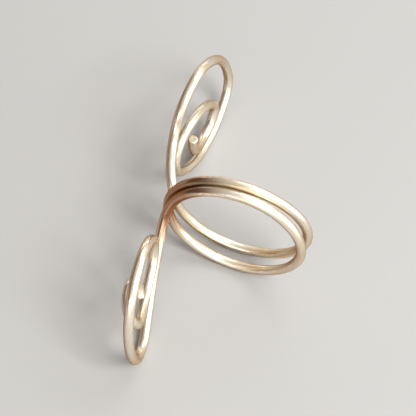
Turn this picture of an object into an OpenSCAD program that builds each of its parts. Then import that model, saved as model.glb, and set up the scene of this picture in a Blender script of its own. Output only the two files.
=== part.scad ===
// Wire ring: one round wire bent into a coil of two turns round the finger,
// with a scroll of about two turns at each end, one up the finger and one down.
// Millimetres, +Z up. It lies as it rests by itself, on the underside of the coil
// and the lower edges of both scrolls, with the finger's way along Y.
// Origin: middle of its outline in plan, on the surface it lies on.

/* [Wire] */
// thickness of the wire
wire_d = 1.35; // [1.1:0.05:1.35]
// bevel round each cut end
end_bevel = 0.08; // [0.02:0.01:0.2]

/* [Coil] */
// inner diameter of the coil, where the finger goes
bore_d = 17.35; // [17.05:0.1:18.95]

/* [Rest] */
// turn about X, first, from the coil's front standing upright
lay_x = -0.7; // [-20:0.01:20]
// turn about Y, second
lay_y = 8.92; // [-30:0.01:30]
// turn about Z, last
lay_z = 0.29; // [-20:0.01:20]

/* [Facets] */
// sides of the wire's section
wire_sides = 14; // [10:1:16]
// largest turn between two sections along a bend, in degrees
turn_step = 9; // [8:0.5:15]

/* [Hidden] */

wire_r = wire_d/2;
// the bend tables are for this radius of the coil's centre line, and scale with it
TABLE_COIL_R = 9.35;
bend_scale = (bore_d + wire_d)/2/TABLE_COIL_R;

// Bend tables, one row to each bend, followed from the middle of the coil's front.
// The first bends of both tables go round the finger. A bend's direction is counted
// about the wire, from the finger's side of it at the start.
BEND_R = 0;      // radius of the centre line, mm
BEND_ANGLE = 1;  // how far it turns, degrees
BEND_DIR = 2;    // which way it turns, degrees about the wire

FAR_BENDS = [
    [ 9.48,  67.8,   0.5],  // far turn: front, up to the top
    [ 9.47, 134.0,   7.1],  // over the top, down the back
    [ 9.33,  98.0,  10.7],  // underneath
    [ 8.95,  34.0,   4.4],  // underneath, rising to the front
    [ 3.95,  88.2, 118.3],  // leaves the coil, up the finger
    [ 5.94,  61.2, -32.3],  // swings out
    [ 5.90,  88.2, 119.2],  // outer loop: rises over the top
    [14.90,  55.5, 112.8],  // outer loop: upper run
    [ 3.36,  66.0, 111.8],  // outer loop: tip
    [12.28,  83.7, 114.6],  // outer loop: lower run
    [ 3.61, 124.6, 110.7],  // inner loop: corner by the coil
    [ 9.75,  62.0, 114.0],  // inner loop: upper run
    [ 2.89, 105.7, 116.0],  // inner loop: tip
    [ 3.09,  41.4,  98.6],  // inner loop: lower run
    [ 8.40,  67.0, 117.1]   // end curl
];

NEAR_BENDS = [
    [ 9.46,  77.3,   0.7],  // near turn: front, down to the underside
    [ 9.35, 159.4,   4.0],  // underneath, up the back
    [ 9.09, 106.3,   7.6],  // over the top
    [ 6.15,  51.3,  67.0],  // down the front, leaves the coil
    [37.45,  21.1,  85.6],  // outer loop: lower run
    [ 4.23, 102.4, 108.9],  // outer loop: lowest corner
    [12.88,  50.6, 101.7],  // outer loop: tip, rising
    [ 6.02, 115.9, 105.7],  // outer loop: upper run
    [ 3.97,  92.9, 105.6],  // inner loop: corner by the coil
    [ 8.38,  46.4,  95.7],  // inner loop: lower run
    [ 2.79,  89.7, 125.1],  // inner loop: tip
    [ 2.87,  41.5, 108.5],  // inner loop: upper run
    [ 2.51, 172.5, 121.8]   // end curl
];

function turned_x(v, a) = [v.x, v.y*cos(a) - v.z*sin(a), v.y*sin(a) + v.z*cos(a)];
function turned_y(v, a) = [v.x*cos(a) + v.z*sin(a), v.y, v.z*cos(a) - v.x*sin(a)];
function turned_z(v, a) = [v.x*cos(a) - v.y*sin(a), v.x*sin(a) + v.y*cos(a), v.z];
function laid(v) = turned_z(turned_y(turned_x(v, lay_x), lay_y), lay_z);

// A place on the wire is [point, direction along the wire, side].
// bent: the place that an angle a of a bend leads to; the side never twists
function bent(f, bend, a) =
    let (t = f[1], n = f[2], dir = bend[BEND_DIR], r = bend[BEND_R]*bend_scale,
         d = n*cos(dir) + cross(t, n)*sin(dir),
         t1 = t*cos(a) + d*sin(a),
         d1 = d*cos(a) - t*sin(a))
    [f[0] + r*(t*sin(a) + d*(1 - cos(a))), t1, d1*cos(dir) - cross(t1, d1)*sin(dir)];

function bend_start(bends, start, i) =
    i == 0 ? start : bent(bend_start(bends, start, i - 1), bends[i - 1], bends[i - 1][BEND_ANGLE]);

// the places along one half of the wire, without its start
function half_way(bends, start) = [
    for (i = [0:len(bends) - 1])
        let (f = bend_start(bends, start, i), a = bends[i][BEND_ANGLE], k = ceil(a/turn_step))
        for (j = [1:k]) bent(f, bends[i], a*j/k)
];

front_up = laid([0, 0, 1]);
front_in = laid([1, 0, 0]);
far_half = half_way(FAR_BENDS, [[0, 0, 0], front_up, front_in]);
near_half = half_way(NEAR_BENDS, [[0, 0, 0], -front_up, front_in]);
near_last = len(near_half) - 1;
way = concat(
    [for (i = [near_last:-1:0]) [near_half[i][0], -near_half[i][1], near_half[i][2]]],
    [[[0, 0, 0], front_up, front_in]],
    far_half);
way_last = len(way) - 1;

// sections: [place, shift along the wire, radius], with a bevel at both cut ends
sections = concat(
    [[way[0], 0, wire_r - end_bevel], [way[0], end_bevel, wire_r]],
    [for (i = [1:way_last - 1]) [way[i], 0, wire_r]],
    [[way[way_last], -end_bevel, wire_r], [way[way_last], 0, wire_r - end_bevel]]);

function section_points(s) =
    let (f = s[0], c = f[0] + s[1]*f[1], b = cross(f[1], f[2]))
    [for (j = [0:wire_sides - 1]) let (u = 360*j/wire_sides) c + s[2]*(f[2]*cos(u) + b*sin(u))];

loose_points = [for (s = sections) each section_points(s)];
low = [for (k = [0:2]) min([for (p = loose_points) p[k]])];
high = [for (k = [0:2]) max([for (p = loose_points) p[k]])];
home = [(low.x + high.x)/2, (low.y + high.y)/2, low.z];
wire_points = [for (p = loose_points) p - home];

last_section = (len(sections) - 1)*wire_sides;
side_faces = [
    for (i = [0:len(sections) - 2], j = [0:wire_sides - 1])
        let (a = i*wire_sides, b = a + wire_sides, k = (j + 1)%wire_sides)
        each [[a + j, b + j, b + k], [a + j, b + k, a + k]]
];
end_faces = [
    for (j = [1:wire_sides - 2])
        each [[0, j, j + 1], [last_section, last_section + j + 1, last_section + j]]
];

module ring_wire() {
    color("silver") polyhedron(points = wire_points, faces = concat(side_faces, end_faces), convexity = 12);
}

ring_wire();
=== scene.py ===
"""Wire ring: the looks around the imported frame. Metres, in the frame's own axes."""

import math

import bpy
import numpy as np
from mathutils import Matrix, Vector


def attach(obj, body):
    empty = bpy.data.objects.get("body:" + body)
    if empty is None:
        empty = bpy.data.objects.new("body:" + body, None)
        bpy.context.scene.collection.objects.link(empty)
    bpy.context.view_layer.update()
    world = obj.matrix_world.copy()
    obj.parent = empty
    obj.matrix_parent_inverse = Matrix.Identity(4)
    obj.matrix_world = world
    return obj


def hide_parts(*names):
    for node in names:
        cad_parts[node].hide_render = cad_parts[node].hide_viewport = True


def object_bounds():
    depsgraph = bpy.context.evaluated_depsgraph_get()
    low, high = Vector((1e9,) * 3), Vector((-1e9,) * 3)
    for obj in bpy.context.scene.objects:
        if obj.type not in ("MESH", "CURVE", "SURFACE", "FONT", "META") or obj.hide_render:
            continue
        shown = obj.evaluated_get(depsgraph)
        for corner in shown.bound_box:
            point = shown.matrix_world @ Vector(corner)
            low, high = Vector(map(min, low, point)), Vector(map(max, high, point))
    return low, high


MM = 0.001

# the wire and its bends, as in the CAD source
WIRE_D = 1.35
LAY = (-0.7, 8.92, 0.29)  # turns about X, Y and Z, degrees
BEND_R, BEND_ANGLE, BEND_DIR = range(3)  # mm, degrees, degrees about the wire
FAR_BENDS = [
    (9.48, 67.8, 0.5),
    (9.47, 134.0, 7.1),
    (9.33, 98.0, 10.7),
    (8.95, 34.0, 4.4),
    (3.95, 88.2, 118.3),
    (5.94, 61.2, -32.3),
    (5.90, 88.2, 119.2),
    (14.90, 55.5, 112.8),
    (3.36, 66.0, 111.8),
    (12.28, 83.7, 114.6),
    (3.61, 124.6, 110.7),
    (9.75, 62.0, 114.0),
    (2.89, 105.7, 116.0),
    (3.09, 41.4, 98.6),
    (8.40, 67.0, 117.1),
]
NEAR_BENDS = [
    (9.46, 77.3, 0.7),
    (9.35, 159.4, 4.0),
    (9.09, 106.3, 7.6),
    (6.15, 51.3, 67.0),
    (37.45, 21.1, 85.6),
    (4.23, 102.4, 108.9),
    (12.88, 50.6, 101.7),
    (6.02, 115.9, 105.7),
    (3.97, 92.9, 105.6),
    (8.38, 46.4, 95.7),
    (2.79, 89.7, 125.1),
    (2.87, 41.5, 108.5),
    (2.51, 172.5, 121.8),
]

# the wire's finer mesh, mm
STATION_GAP = 0.2  # between two sections along the wire
SIDES = 32
AROUND = np.linspace(0, 2 * math.pi, SIDES, endpoint=False)
END_PROFILE = [(0.0, 0.55), (0.012, 0.602), (0.05, 0.648), (0.12, 0.670)]  # from the cut, radius
END_REACH = 1.5 * END_PROFILE[-1][0]  # no plain section lies closer to a cut
CAP_RINGS = [(0.42, 0.006), (0.22, 0.012)]  # radius, how far the cut face stands back
# faint flats and waves from bending: depth, pace along the wire, waves round it, phase
WAVES = [(0.0045, 0.37, 2, 0.3), (0.0035, 0.83, 3, 1.9), (0.0030, 1.31, 2, 4.1), (0.0018, 2.17, 4, 0.8)]
WAVES_BACK = 0.008  # the waves as a whole stand back by this

# where another run of the wire passes by, mm
SAME_RUN = 5.0  # what is closer along the wire is the same run
NOT_NEAR = 99.0
PASS_FAR, PASS_SPAN, PASS_POWER = 2.2, 1.3, 1.5  # the share starts here, and grows over this
LINE_STEP = 2  # every second place of the centre line is looked at
POINTS_AT_ONCE = 4000

SHADED_WAY = (-0.70, -0.20, -0.68)  # the side that gets painted shade and warm reflection
SHADED_EDGES = (0.0, 0.55)
# stretches with painted dark, warm reflection: middle along the wire from the near end, half length, both
# mm, and whether it is painted only on the shaded side
PAINTED_REFLECTION_STRETCHES = [(77.0, 7.5, False), (134.0, 9.5, False), (70.0, 7.5, True)]
PAINTED_REFLECTION_FADE = 1.6

# the metal's colours, with the tones of painted shade and reflection among them
CLEAN = (0.93, 0.885, 0.79, 1.0)
WARM = (0.89, 0.775, 0.58, 1.0)
# dark brown of real stains and streaks, also used for painted shade between close runs and painted dark
# reflection
TARNISH_AND_PAINTED_SHADE = (0.18, 0.10, 0.055, 1.0)
# painted warm reflection and shade, on the lower-left side and along given stretches
PAINTED_WARM_REFLECTION = (0.52, 0.225, 0.115, 1.0)
EDGE_TINT = (0.60, 0.46, 0.34, 1.0)
CUT_PALE = (0.66, 0.62, 0.54, 1.0)
CUT_DARK = (0.44, 0.38, 0.30, 1.0)

# patterns of the skin: stretch along and across the wire, turn, scale, detail, roughness, warp
STREAKS = ((0.045, 2.6, 2.6), (0, 0, 0), 1.0, 3.0, 0.6, 0.0)
LINES = ((0.20, 9.0, 9.0), (0, 0, 0), 1.6, 4.0, 0.6, 0.0)
RUBS = ((1.2, 16.0, 16.0), (0.0, 0.35, 0.5), 1.0, 3.0, 0.5, 0.0)
DENTS = ((0.5, 0.9, 0.9), (0, 0, 0), 1.0, 2.0, 0.5, 0.4)
FINE = ((3.0, 5.0, 5.0), (0, 0, 0), 2.0, 4.0, 0.65, 0.0)
PATCHES = ((0.11, 0.5, 0.5), (0, 0, 0), 1.0, 3.0, 0.6, 0.6)
SHEAR = ((1.0, 2.0, 14.0), (0, 0, 0), 1.3, 3.0, 0.6, 0.0)
GRAIN = ((1.0, 1.0, 1.0), (0, 0, 0), 9.0, 4.0, 0.6, 0.0)

# what the patterns do: pattern from, pattern to, share from, share to
RUB_MARKS = (0.62, 0.72, 0.0, 1.0)
WARM_PATCHES = (0.36, 0.66, 0.0, 1.0)
STAIN_FINE = (0.35, 0.7, 0.0, 1.0)
STAIN_PATCHES = (0.5, 0.75, 0.02, 0.16)
DARK_STREAKS = (0.56, 0.74, 0.0, 0.20)
DARK_LINES = (0.3, 0.7, 0.75, 1.2)
# shares of painted dark and warm reflection along given stretches, and of painted shade and warm reflection
# on the lower-left side
PAINTED_REFLECTION_DARK = (0.44, 0.62, 0.08, 0.46)
PAINTED_REFLECTION_COPPER = (0.34, 0.5, 0.5, 1.0)
SHADED_SIDE_PAINT = (0.38, 0.62, 0.38, 0.84)
ROUGH_STREAKS = (0.38, 0.62, 0.24, 0.34)
ROUGH_FINE = (0.3, 0.75, -0.01, 0.03)
CUT_TONES = (0.35, 0.7, 0.0, 1.0)
CUT_ROUGH = (0.3, 0.7, 0.30, 0.46)

CLOSE_PAINTED_SHADE, CLOSE_ROUGH = 0.30, 0.06  # where two runs of the wire lie close: painted shade between them, and a rougher skin
# the stretches with painted reflection are smoother, the rub marks rougher
PAINTED_REFLECTION_SMOOTH, MARKS_ROUGH = 0.09, 0.08
DARKEST = 0.85

# bumps: strength, depth in metres
DENT_BUMP = (0.30, 0.00012)
STREAK_BUMP = (0.15, 0.00003)
LINE_BUMP = (0.16, 0.00002)
MARK_BUMP = (0.20, 0.000004)
SHEAR_BUMP = (0.6, 0.00005)
GRAIN_BUMP = (0.3, 0.00003)

# the camera: where it stands, which way it looks and its lens, from the photo
CAM_RIGHT = Vector((0.940340, 0.326696, 0.095025))
CAM_DOWN = Vector((0.327894, -0.795630, -0.509371))
CAM_FORWARD = Vector((-0.090804, 0.510140, -0.855285))
CAM_PLACE = Vector((13.604, -94.585, 166.326)) * MM
FOCAL_PX = 1378.17
FRAME_PX = 416
SENSOR = 36.0
CLIP = (0.01, 20.0)

# lights: name, the way to it, distance, width, height, watts, colour
LIGHTS = [
    ("key", (0.537, -0.213, 0.816), 0.60, 0.28, 0.28, 4.0, (1.0, 0.985, 0.96)),
    ("right", (0.94, 0.02, 0.30), 0.60, 0.80, 0.45, 2.4, (1.0, 0.98, 0.95)),
    ("back_right", (0.20, 0.62, 0.70), 0.60, 0.50, 0.28, 1.4, (1.0, 0.985, 0.96)),
    ("front", (0.15, -0.95, 0.30), 0.60, 0.60, 0.25, 0.9, (1.0, 0.97, 0.92)),
    ("strip_back", (-0.35, 0.90, 0.12), 0.60, 0.60, 0.05, 0.35, (1.0, 0.98, 0.96)),
]
LIGHTS_AIM = Vector((0, 0, 9 * MM))
# the room around: brown low on the dark side, pale elsewhere
ROOM_DARK = (0.13, 0.06, 0.032, 1.0)
ROOM_PALE = (0.84, 0.78, 0.70, 1.0)
ROOM_WAY = (0.72, 0.10, 0.68)
ROOM_EDGES = (-0.55, 0.55)
ROOM_STRENGTH = 0.9

FLOOR_COLOUR = (0.34, 0.345, 0.35, 1.0)
FLOOR_DARKER = tuple(0.97 * c for c in FLOOR_COLOUR[:3]) + (1.0,)
FLOOR_NOISE = (6.0, 3.0)  # scale, detail
FLOOR_TONES = (0.3, 0.7, 0.0, 1.0)
FLOOR_ROUGH = 0.7
FLOOR_HALF = 2.5

# sockets of a colour mix: the share and both colours in, the colour out
MIX_IN, MIX_OUT = (0, 6, 7), 2


def turn(angles):
    """The matrix that turns about X, then Y, then Z."""
    m = Matrix.Identity(3)
    for axis, a in zip("XYZ", angles):
        m = Matrix.Rotation(math.radians(a), 3, axis) @ m
    return np.array(m)


def half_way(bends, start):
    """Places along one half of the wire: rows of point, direction and side."""
    p, t, n = start
    rows = []
    for bend in bends:
        r, angle = bend[BEND_R], math.radians(bend[BEND_ANGLE])
        way = math.radians(bend[BEND_DIR])
        d = n * math.cos(way) + np.cross(t, n) * math.sin(way)
        steps = max(2, math.ceil(r * angle / STATION_GAP))
        for j in range(1, steps + 1):
            a = angle * j / steps
            q = p + r * (t * math.sin(a) + d * (1 - math.cos(a)))
            t1 = t * math.cos(a) + d * math.sin(a)
            d1 = d * math.cos(a) - t * math.sin(a)
            n1 = d1 * math.cos(way) - np.cross(t1, d1) * math.sin(way)
            rows.append((q, t1, n1))
        p, t, n = rows[-1]
    return rows


def wire_way():
    """Centre line of the whole wire in mm, from the near end to the far end."""
    lay = turn(LAY)
    up, inward, middle = lay @ (0, 0, 1), lay @ (1, 0, 0), np.zeros(3)
    near = half_way(NEAR_BENDS, (middle, -up, inward))
    far = half_way(FAR_BENDS, (middle, up, inward))
    rows = [(p, -t, n) for p, t, n in reversed(near)]
    rows += [(middle, up, inward)] + far
    return [np.array(column) for column in zip(*rows)]


def wire_sections():
    """Rings of the wire: centre, direction, side, radius and place along the wire, in mm."""
    p, t, n = wire_way()
    s = np.concatenate([[0.0], np.cumsum(np.linalg.norm(np.diff(p, axis=0), axis=1))])
    total = s[-1]
    body = (s > END_REACH) & (s < total - END_REACH)
    rows = [(p[0] + t[0] * d, t[0], n[0], r, d) for d, r in END_PROFILE]
    rows += [(p[i], t[i], n[i], WIRE_D / 2, s[i]) for i in np.flatnonzero(body)]
    rows += [(p[-1] - t[-1] * d, t[-1], n[-1], r, total - d) for d, r in reversed(END_PROFILE)]
    return [np.array(column) for column in zip(*rows)]


def hand_work(s, u):
    """How far the surface stands off a true round, mm: faint flats and waves from bending."""
    return sum(d * np.sin(k * s + m * u + f) for d, k, m, f in WAVES) - WAVES_BACK


def near_strands(points, s_points, line, s_line):
    """0 to 1 at each point: how closely another run of the wire passes by."""
    out = np.zeros(len(points))
    for i in range(0, len(points), POINTS_AT_ONCE):
        these = slice(i, i + POINTS_AT_ONCE)
        d = np.linalg.norm(points[these][:, None] - line[None], axis=2)
        d[np.abs(s_points[these][:, None] - s_line[None]) < SAME_RUN] = NOT_NEAR
        out[these] = d.min(1)
    return np.clip((PASS_FAR - out) / PASS_SPAN, 0, 1) ** PASS_POWER


def shaded_side(points, middles):
    """0 to 1 at each point: how far the wire's skin there faces the shaded lower left."""
    out = points - middles
    out /= np.maximum(np.linalg.norm(out, axis=1), 1e-9)[:, None]
    away = np.array(SHADED_WAY) / np.linalg.norm(SHADED_WAY)
    start, full = SHADED_EDGES
    return np.clip((out @ away - start) / (full - start), 0, 1)


def painted_reflection_share(s, side_share):
    """0 to 1 at each point: the stretches of the wire that get painted dark, warm reflection."""
    out = np.zeros(len(s))
    for middle, half, one_side in PAINTED_REFLECTION_STRETCHES:
        share = np.clip(PAINTED_REFLECTION_FADE * (1 - np.abs(s - middle) / half), 0, 1)
        out = np.maximum(out, share * (side_share if one_side else 1.0))
    return out


def tube_faces(rings):
    """The quads of the wire's skin, between all its rings."""
    faces = []
    for i in range(rings - 1):
        for j in range(SIDES):
            k = (j + 1) % SIDES
            faces.append((i * SIDES + j, i * SIDES + k, (i + 1) * SIDES + k, (i + 1) * SIDES + j))
    return faces


def cut_end(ring, base, section, sign):
    """Closes the wire at a ring: new points from index base on, their places, and the faces."""
    centre, way, side, s = section
    across = np.cross(way, side)
    points, places, faces = [], [], []
    for cap_r, back in CAP_RINGS:
        new = [base + len(points) + j for j in range(SIDES)]
        for v in AROUND:
            out = side * math.cos(v) + across * math.sin(v)
            points.append(centre + cap_r * out + way * back * sign)
            places.append((s, cap_r * math.cos(v), cap_r * math.sin(v)))
        for j in range(SIDES):
            k = (j + 1) % SIDES
            faces.append((ring[j], new[j], new[k], ring[k]))
        ring = new
    faces.append(tuple(reversed(ring)))
    return points, places, faces if sign > 0 else [f[::-1] for f in faces]


def into_box(points, box_low, box_high):
    """The points in metres, moved to the frame's origin and kept inside the CAD box."""
    low, high = points.min(0), points.max(0)
    points = (points - [(low[0] + high[0]) / 2, (low[1] + high[1]) / 2, low[2]]) * MM
    room = (np.array(box_high) - np.array(box_low)) / ((high - low) * MM)
    return points * min(1.0, room.min())


def store(me, name, values, kind="FLOAT", field="value"):
    """Keeps values at the mesh's points for its material."""
    data = me.attributes.new(name, kind, "POINT").data
    data.foreach_set(field, values.astype(np.float32).ravel())


def build_wire(box_low, box_high):
    """The wire as one fine mesh inside the CAD box, with places along and round it."""
    centre, way, side, radius, s = wire_sections()
    across = np.cross(way, side)
    round_off = hand_work(s[:, None], AROUND[None])
    r = radius[:, None] + np.where(radius[:, None] < WIRE_D / 2, 0, round_off)
    cos, sin = np.cos(AROUND), np.sin(AROUND)
    spread = side[:, None] * cos[None, :, None] + across[:, None] * sin[None, :, None]
    verts = (centre[:, None] + r[..., None] * spread).reshape(-1, 3)
    at = np.stack([np.repeat(s, SIDES), (r * cos).ravel(), (r * sin).ravel()], axis=1)
    middles = np.repeat(centre, SIDES, axis=0)
    faces, cut_faces = tube_faces(len(s)), []
    for end, sign in ((0, 1), (len(s) - 1, -1)):
        ring = [end * SIDES + j for j in range(SIDES)]
        section = (centre[end], way[end], side[end], s[end])
        points, places, closing = cut_end(ring, len(verts), section, sign)
        verts, at = np.vstack([verts, points]), np.vstack([at, places])
        middles = np.vstack([middles, points])
        cut_faces += closing
    side_share = shaded_side(verts, middles)
    gap = near_strands(verts, at[:, 0], centre[::LINE_STEP], s[::LINE_STEP])

    me = bpy.data.meshes.new("ring_wire_fine")
    me.from_pydata(into_box(verts, box_low, box_high).tolist(), [], faces + cut_faces)
    store(me, "wire_at", at, "FLOAT_VECTOR", "vector")
    store(me, "near_strand", gap)
    store(me, "shaded_side", side_share)
    # painted dark, warm reflection along given stretches
    store(me, "painted_reflection", painted_reflection_share(at[:, 0], side_share))
    smooth = np.ones(len(faces) + len(cut_faces), bool)
    smooth[len(faces):] = False
    me.polygons.foreach_set("use_smooth", smooth)
    me.polygons.foreach_set("material_index", (~smooth).astype(np.int32))
    me.update()
    ob = bpy.data.objects.new("ring_wire_fine", me)
    bpy.context.scene.collection.objects.link(ob)
    return ob


class Nodes:
    """Short calls to make and join shader nodes."""

    def __init__(self, tree):
        self.tree = tree

    def put(self, value, socket):
        """Joins the value to the socket where it comes from a node, and else sets it."""
        if isinstance(value, bpy.types.NodeSocket):
            self.tree.links.new(value, socket)
        else:
            socket.default_value = value

    def add(self, kind, inputs=(), **settings):
        node = self.tree.nodes.new(kind)
        for name, value in settings.items():
            setattr(node, name, value)
        for name, value in dict(inputs).items():
            self.put(value, node.inputs[name])
        return node

    def attribute(self, name, output="Fac"):
        return self.add("ShaderNodeAttribute", attribute_name=name).outputs[output]

    def noise(self, source, scale, detail, rough=0.55, warp=0.0):
        values = {"Vector": source, "Scale": scale, "Detail": detail, "Roughness": rough, "Distortion": warp}
        return self.add("ShaderNodeTexNoise", values).outputs["Fac"]

    def pattern(self, source, stretch, turned, scale, detail, rough, warp):
        mapping = {"Vector": source, "Scale": stretch, "Rotation": turned}
        stretched = self.add("ShaderNodeMapping", mapping).outputs["Vector"]
        return self.noise(stretched, scale, detail, rough, warp)

    def range(self, value, low, high, to_low, to_high):
        values = {"Value": value, "From Min": low, "From Max": high, "To Min": to_low, "To Max": to_high}
        return self.add("ShaderNodeMapRange", values).outputs["Result"]

    def math(self, kind, a, b):
        node = self.add("ShaderNodeMath", operation=kind)
        self.put(a, node.inputs[0])
        self.put(b, node.inputs[1])
        return node.outputs[0]

    def times(self, a, b):
        return self.math("MULTIPLY", a, b)

    def plus(self, a, b):
        return self.math("ADD", a, b)

    def mix(self, share, a, b):
        node = self.add("ShaderNodeMix", data_type="RGBA")
        for i, value in zip(MIX_IN, (share, a, b)):
            self.put(value, node.inputs[i])
        return node.outputs[MIX_OUT]

    def bump(self, height, bump, normal=None):
        strength, distance = bump
        values = {"Height": height, "Strength": strength, "Distance": distance}
        if normal is not None:
            values["Normal"] = normal
        return self.add("ShaderNodeBump", values).outputs["Normal"]

    def surface(self, inputs):
        shader = self.add("ShaderNodeBsdfPrincipled", inputs)
        self.add("ShaderNodeOutputMaterial", {"Surface": shader.outputs["BSDF"]})


def new_material(name):
    m = bpy.data.materials.new(name)
    m.use_nodes = True
    m.node_tree.nodes.clear()
    return m, Nodes(m.node_tree)


def wire_material():
    """Worn satin silver: draw lines, rub marks, faint dents and stains, with painted shade between close
    runs and on the lower-left side, and painted dark, warm reflection along given stretches.
    """
    m, n = new_material("worn_silver")
    at = n.attribute("wire_at", "Vector")
    close, shaded, painted_reflection = (n.attribute(name) for name in ("near_strand", "shaded_side", "painted_reflection"))
    kinds = (STREAKS, LINES, RUBS, DENTS, FINE, PATCHES)
    streaks, lines, rubs, dents, fine, patches = (n.pattern(at, *kind) for kind in kinds)
    marks = n.range(rubs, *RUB_MARKS)

    stain = n.times(n.range(fine, *STAIN_FINE), n.range(patches, *STAIN_PATCHES))
    # painted shade where another run passes close, plus real stains and streaks
    dark = n.plus(n.times(close, CLOSE_PAINTED_SHADE), stain)
    dark = n.plus(dark, n.range(streaks, *DARK_STREAKS))
    # painted dark reflection along given stretches
    dark = n.plus(dark, n.times(painted_reflection, n.range(streaks, *PAINTED_REFLECTION_DARK)))
    dark = n.math("MINIMUM", n.times(dark, n.range(lines, *DARK_LINES)), DARKEST)

    # painted shade and warm reflection on the lower-left side and along given stretches
    painted_side_shade = n.times(shaded, n.range(streaks, *SHADED_SIDE_PAINT))
    reflection_copper = n.times(painted_reflection, n.range(streaks, *PAINTED_REFLECTION_COPPER))
    painted_warm_share = n.math("MAXIMUM", painted_side_shade, reflection_copper)
    silver = n.mix(n.range(patches, *WARM_PATCHES), CLEAN, WARM)
    colour = n.mix(dark, n.mix(painted_warm_share, silver, PAINTED_WARM_REFLECTION), TARNISH_AND_PAINTED_SHADE)

    rough = n.plus(n.range(streaks, *ROUGH_STREAKS), n.times(close, CLOSE_ROUGH))
    rough = n.math("SUBTRACT", rough, n.times(painted_reflection, PAINTED_REFLECTION_SMOOTH))
    rough = n.plus(rough, n.range(fine, *ROUGH_FINE))
    rough = n.plus(rough, n.times(marks, MARKS_ROUGH))

    normal = n.bump(dents, DENT_BUMP)
    normal = n.bump(streaks, STREAK_BUMP, normal)
    normal = n.bump(lines, LINE_BUMP, normal)
    normal = n.bump(marks, MARK_BUMP, normal)
    n.surface({
        "Base Color": colour,
        "Metallic": 1.0,
        "Roughness": rough,
        "Normal": normal,
        "Specular Tint": EDGE_TINT,
    })
    return m


def cut_material():
    """The cut faces: duller, with the fine shear lines of the cutter."""
    m, n = new_material("cut_silver")
    at = n.attribute("wire_at", "Vector")
    shear, grain = n.pattern(at, *SHEAR), n.pattern(at, *GRAIN)
    n.surface({
        "Base Color": n.mix(n.range(grain, *CUT_TONES), CUT_PALE, CUT_DARK),
        "Metallic": 1.0,
        "Roughness": n.range(shear, *CUT_ROUGH),
        "Normal": n.bump(grain, GRAIN_BUMP, n.bump(shear, SHEAR_BUMP)),
    })
    return m


def floor_material():
    m, n = new_material("pale_floor")
    place = n.add("ShaderNodeNewGeometry").outputs["Position"]
    tone = n.range(n.noise(place, *FLOOR_NOISE), *FLOOR_TONES)
    n.surface({"Base Color": n.mix(tone, FLOOR_COLOUR, FLOOR_DARKER), "Roughness": FLOOR_ROUGH})
    return m


def build_floor():
    me = bpy.data.meshes.new("floor")
    h = FLOOR_HALF
    me.from_pydata([(-h, -h, 0), (h, -h, 0), (h, h, 0), (-h, h, 0)], [], [(0, 1, 2, 3)])
    me.materials.append(floor_material())
    ob = bpy.data.objects.new("floor", me)
    bpy.context.scene.collection.objects.link(ob)


def build_lights():
    for name, way, distance, width, height, watts, colour in LIGHTS:
        data = bpy.data.lights.new(name, "AREA")
        data.shape, data.size, data.size_y = "RECTANGLE", width, height
        data.energy, data.color = watts, colour
        ob = bpy.data.objects.new(name, data)
        bpy.context.scene.collection.objects.link(ob)
        out = Vector(way).normalized()
        ob.location = LIGHTS_AIM + out * distance
        ob.rotation_euler = (-out).to_track_quat("-Z", "Y").to_euler()


def build_room():
    """The world: pale on the window's side and brown on the other, with a soft change between."""
    world = bpy.data.worlds.new("room")
    world.use_nodes = True
    world.node_tree.nodes.clear()
    n = Nodes(world.node_tree)
    way = n.add("ShaderNodeTexCoord").outputs["Generated"]
    window = Vector(ROOM_WAY).normalized()
    toward = n.add("ShaderNodeVectorMath", {0: way, 1: window}, operation="DOT_PRODUCT")
    start, full = ROOM_EDGES
    values = {"Value": toward.outputs["Value"], "From Min": start, "From Max": full}
    share = n.add("ShaderNodeMapRange", values, interpolation_type="SMOOTHSTEP").outputs["Result"]
    colour = n.mix(share, ROOM_DARK, ROOM_PALE)
    back = n.add("ShaderNodeBackground", {"Color": colour, "Strength": ROOM_STRENGTH})
    n.add("ShaderNodeOutputWorld", {"Surface": back.outputs["Background"]})
    bpy.context.scene.world = world


def build_camera():
    data = bpy.data.cameras.new("camera")
    data.sensor_width, data.lens = SENSOR, SENSOR * FOCAL_PX / FRAME_PX
    data.clip_start, data.clip_end = CLIP
    ob = bpy.data.objects.new("camera", data)
    bpy.context.scene.collection.objects.link(ob)
    m = Matrix((CAM_RIGHT, -CAM_DOWN, -CAM_FORWARD)).transposed().to_4x4()
    m.translation = CAM_PLACE
    ob.matrix_world = m
    bpy.context.scene.camera = ob
    bpy.context.scene.view_settings.view_transform = "Standard"


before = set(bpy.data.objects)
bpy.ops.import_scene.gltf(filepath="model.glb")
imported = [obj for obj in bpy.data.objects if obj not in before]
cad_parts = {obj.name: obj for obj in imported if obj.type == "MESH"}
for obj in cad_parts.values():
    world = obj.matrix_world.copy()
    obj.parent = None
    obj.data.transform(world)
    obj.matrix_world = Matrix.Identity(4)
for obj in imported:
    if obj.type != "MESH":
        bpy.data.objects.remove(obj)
cad_low, cad_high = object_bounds()
build_camera()
build_lights()
build_room()
build_floor()
wire = build_wire(cad_low, cad_high)
wire.data.materials.append(wire_material())
wire.data.materials.append(cut_material())
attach(wire, "root")
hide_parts("ring_wire")
